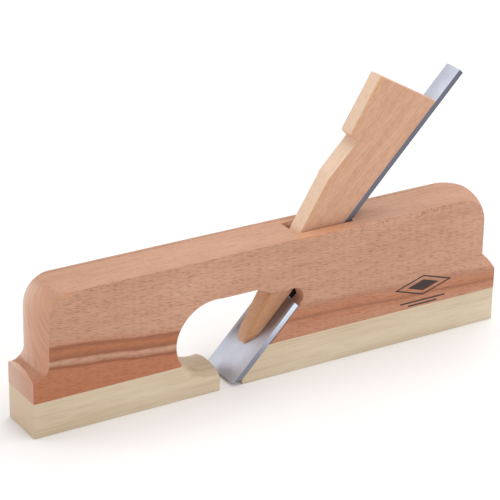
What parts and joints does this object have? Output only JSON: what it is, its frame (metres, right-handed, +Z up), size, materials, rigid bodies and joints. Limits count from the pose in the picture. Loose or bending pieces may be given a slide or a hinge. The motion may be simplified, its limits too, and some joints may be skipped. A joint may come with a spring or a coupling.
{
  "type": "wooden rebate plane",
  "caption": "Wooden rebate plane: rounded stock on a hard sole, open round escapement, T-shaped iron at a steep pitch and a notched wedge.",
  "frame": {"origin": "on the sole plane, midway along the body and midway across it", "axes": "+X from toe to heel, +Y from the near side to the far side, +Z up from the sole"},
  "size_m": [0.27, 0.027, 0.1465],
  "materials": {
    "beech_stock": "oiled steamed beech with fine dark flecks",
    "hornbeam_sole": "planed hornbeam, cream with fine straight grain",
    "iron_steel": "ground tool steel",
    "beech_wedge": "oiled beech, hand-eased edges"
  },
  "bodies": {
    "plane_body": {"stock": "beech_stock", "toe_sole": "hornbeam_sole", "heel_sole": "hornbeam_sole"},
    "iron": {"iron": "iron_steel"},
    "wedge": {"wedge": "beech_wedge"}
  },
  "joints": [
    {"name": "iron_slide", "type": "slide", "parent": "plane_body", "child": "iron", "axis": [0.6947, 0, 0.7193], "range_m": [-0.2, 0.0025]},
    {"name": "wedge_slide", "type": "slide", "parent": "plane_body", "child": "wedge", "axis": [0.6947, 0, 0.7193], "range_m": [0, 0.1]}
  ]
}
